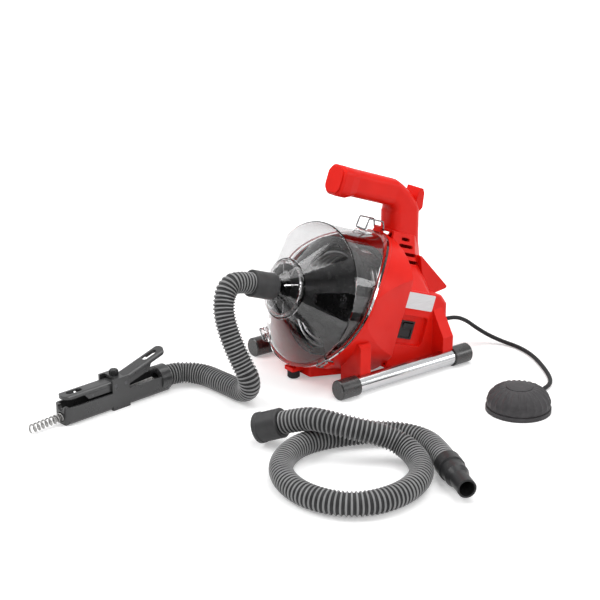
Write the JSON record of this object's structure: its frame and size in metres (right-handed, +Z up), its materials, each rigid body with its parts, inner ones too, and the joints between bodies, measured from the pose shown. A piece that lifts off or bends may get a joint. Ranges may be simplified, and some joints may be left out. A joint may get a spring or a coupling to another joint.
{
  "type": "drain cleaning machine",
  "caption": "Portable drum drain cleaner: red housing, clear drum cover, ribbed hose to a hand cable feeder, air foot switch and a loose guide hose.",
  "frame": {"origin": "on the floor, under the middle of the box around the machine, its cable feeder and its foot switch, without the hoses", "axes": "+Z up; -Y is the way the drum's nose and the feeder point; +X is to the machine's right seen from its nose, the side with the rocker switch"},
  "size_m": [0.5821, 0.7707, 0.3172],
  "materials": {
    "red_plastic": "moulded, semi-gloss",
    "clear_plastic": "clear, polished",
    "black_plastic": "moulded, satin",
    "grey_hose": "ribbed, satin",
    "black_rubber": "matte",
    "chrome_tube": "bright",
    "steel": "satin",
    "cable_steel": "oiled",
    "gear_plastic": "moulded",
    "motor_paint": "satin",
    "label": "plain",
    "brass_fitting": "satin"
  },
  "bodies": {
    "machine": {"drum_housing": "red_plastic", "left_housing": "red_plastic", "right_housing": "red_plastic", "handle_end_plug": "red_plastic", "front_cover": "clear_plastic", "nozzle_dome": "clear_plastic", "nozzle_bushing": "black_plastic", "rocker_bezel": "black_plastic", "air_switch": "black_plastic", "feeder_body": "black_plastic", "feed_hose": "grey_hose", "feed_hose_cuff": "grey_hose", "leg_caps": "black_rubber", "nose_bumper": "black_rubber", "cord_gland": "black_rubber", "foot_base": "black_rubber", "foot_bellows": "black_rubber", "air_hose": "black_rubber", "leg_tube_left": "chrome_tube", "leg_tube_right": "chrome_tube", "shaft_bearings": "steel", "motor_plate": "steel", "plate_screws": "steel", "housing_screws": "steel", "feeder_lever_pins": "steel", "motor_can": "motor_paint", "label_plate": "label", "hose_barb": "brass_fitting", "foot_nipple": "brass_fitting"},
    "drum": {"drum_shell": "black_plastic", "drum_front": "black_plastic", "cable_winding": "cable_steel", "cable_core": "cable_steel", "drum_shaft": "steel", "drum_gear": "gear_plastic", "gear_clip": "steel"},
    "pinion": {"motor_pinion": "steel", "motor_shaft": "steel"},
    "bail_top": {"latch_bail_top": "steel"},
    "bail_right": {"latch_bail_right": "steel"},
    "bail_left": {"latch_bail_left": "steel"},
    "rocker": {"rocker": "black_plastic"},
    "front_lever": {"feeder_front_lever": "black_plastic"},
    "rear_lever": {"feeder_rear_lever": "black_plastic"},
    "front_roller": {"feeder_front_roller": "steel"},
    "rear_roller": {"feeder_rear_roller": "steel"},
    "knob": {"feeder_knob": "black_plastic"},
    "cable": {"cable_rod": "cable_steel", "feeder_cable": "cable_steel", "cable_tip": "cable_steel"},
    "foot_crown": {"foot_crown": "black_rubber"},
    "guide_hose": {"guide_hose": "grey_hose", "guide_hose_cuff": "grey_hose", "guide_hose_fitting": "black_plastic"}
  },
  "joints": [
    {"name": "drum_spin", "type": "hinge", "parent": "machine", "child": "drum", "pos_m": [-0.1073, 0.0924, 0.1313], "axis": [0, -0.9441, 0.3297], "continuous": true},
    {"name": "pinion_spin", "type": "hinge", "parent": "machine", "child": "pinion", "pos_m": [-0.16168, 0.21055, 0.06318], "axis": [0, -0.9441, 0.3297], "continuous": true},
    {"name": "cable_spin", "type": "hinge", "parent": "machine", "child": "cable", "pos_m": [-0.17933, -0.20073, 0.01472], "axis": [0.1287, -0.9906, -0.046], "continuous": true},
    {"name": "bail_top_swing", "type": "hinge", "parent": "machine", "child": "bail_top", "pos_m": [-0.1073, 0.23176, 0.20497], "axis": [-1, 0, 0], "range_deg": [0, 60]},
    {"name": "bail_right_swing", "type": "hinge", "parent": "machine", "child": "bail_right", "pos_m": [-0.03306, 0.078, 0.04261], "axis": [0.766, 0.2119, 0.6068], "range_deg": [0, 100]},
    {"name": "bail_left_swing", "type": "hinge", "parent": "machine", "child": "bail_left", "pos_m": [-0.18154, 0.078, 0.04261], "axis": [0.766, -0.2119, -0.6068], "range_deg": [0, 100]},
    {"name": "rocker_tilt", "type": "hinge", "parent": "machine", "child": "rocker", "pos_m": [-0.0283, 0.2204, 0.067], "axis": [0, 0.9441, -0.3297], "range_deg": [-18, 0]},
    {"name": "front_lever_press", "type": "hinge", "parent": "machine", "child": "front_lever", "pos_m": [-0.17829, -0.20876, 0.037], "axis": [0.9917, 0.1288, 0], "range_deg": [0, 6], "stiffness_Nm_per_rad": 0.6, "springref_deg": -4.58},
    {"name": "rear_lever_press", "type": "hinge", "parent": "machine", "child": "rear_lever", "pos_m": [-0.18061, -0.19091, 0.037], "axis": [-0.9917, -0.1288, 0], "range_deg": [0, 10], "stiffness_Nm_per_rad": 0.6, "springref_deg": -4.58},
    {"name": "front_roller_spin", "type": "hinge", "parent": "front_lever", "child": "front_roller", "pos_m": [-0.17342, -0.24624, 0.0331], "axis": [-0.9917, -0.1288, 0], "continuous": true},
    {"name": "rear_roller_spin", "type": "hinge", "parent": "rear_lever", "child": "rear_roller", "pos_m": [-0.18541, -0.15393, 0.04432], "axis": [0.9917, 0.1288, 0], "continuous": true},
    {"name": "knob_turn", "type": "hinge", "parent": "machine", "child": "knob", "pos_m": [-0.17945, -0.19983, 0.0475], "axis": [0, 0, 1], "continuous": true},
    {"name": "foot_press", "type": "slide", "parent": "machine", "child": "foot_crown", "axis": [0, 0, -1], "range_m": [0, 0.009], "stiffness_N_per_m": 1200, "springref_m": -0.002, "deforming": ["foot_bellows"]},
    {"name": "guide_hose_lift", "type": "slide", "parent": "machine", "child": "guide_hose", "axis": [0, 0, 1], "range_m": [0, 0.2]}
  ],
  "couplings": [
    {"joint": "pinion_spin", "follows": "drum_spin", "ratio": -4},
    {"joint": "cable_spin", "follows": "drum_spin", "ratio": 1}
  ]
}
